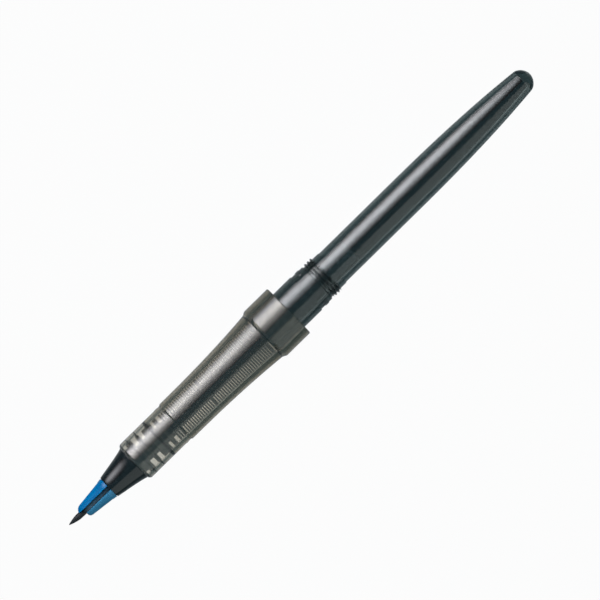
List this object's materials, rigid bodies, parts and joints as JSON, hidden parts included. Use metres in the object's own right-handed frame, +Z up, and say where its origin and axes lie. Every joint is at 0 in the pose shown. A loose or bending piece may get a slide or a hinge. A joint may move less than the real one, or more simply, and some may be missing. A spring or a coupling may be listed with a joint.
{
  "type": "brush pen unit",
  "caption": "Refill-type brush pen: fibre nib between two guide blades, nose cone, see-through grip with finned ink collector, and tapered ink tank with a barrel thread.",
  "frame": {"origin": "on the pen's axis, in the rear face of the grip's collar, where the tank's pilot comes out", "axes": "+X along the pen towards the tail, the nib points to -X, +Z up, and the slots between the guide blades face +Z and -Z"},
  "size_m": [0.1289, 0.0124, 0.0124],
  "materials": {
    "nib_fibre": "ink-soaked bonded fibre",
    "guide_blue": "moulded, see-through blue",
    "cone_black": "moulded, polished black",
    "grip_smoke": "moulded, polished, see-through smoke",
    "collector_dark": "moulded, ink-stained",
    "seal_black": "moulded elastomer",
    "wick_fibre": "ink-soaked fibre bundle",
    "tank_smoke": "moulded, polished, see-through dark smoke",
    "plug_dark": "moulded",
    "ink_black": "liquid ink"
  },
  "bodies": {
    "pen": {"nib_stem": "nib_fibre", "nib_guide": "guide_blue", "nose_cone": "cone_black", "grip_sleeve": "grip_smoke", "nib_holder": "collector_dark", "collector": "collector_dark", "collector_seal": "seal_black", "relay_wick": "wick_fibre", "ink_tank": "tank_smoke", "tank_plug": "plug_dark", "ink_charge": "ink_black"},
    "nib_point": {"nib_tip": "nib_fibre"}
  },
  "joints": [
    {"name": "nib_flex", "type": "hinge", "parent": "pen", "child": "nib_point", "pos_m": [-0.05888, 0, 0], "axis": [0, 0, 1], "range_deg": [-8, 8], "stiffness_Nm_per_rad": 0.024}
  ]
}
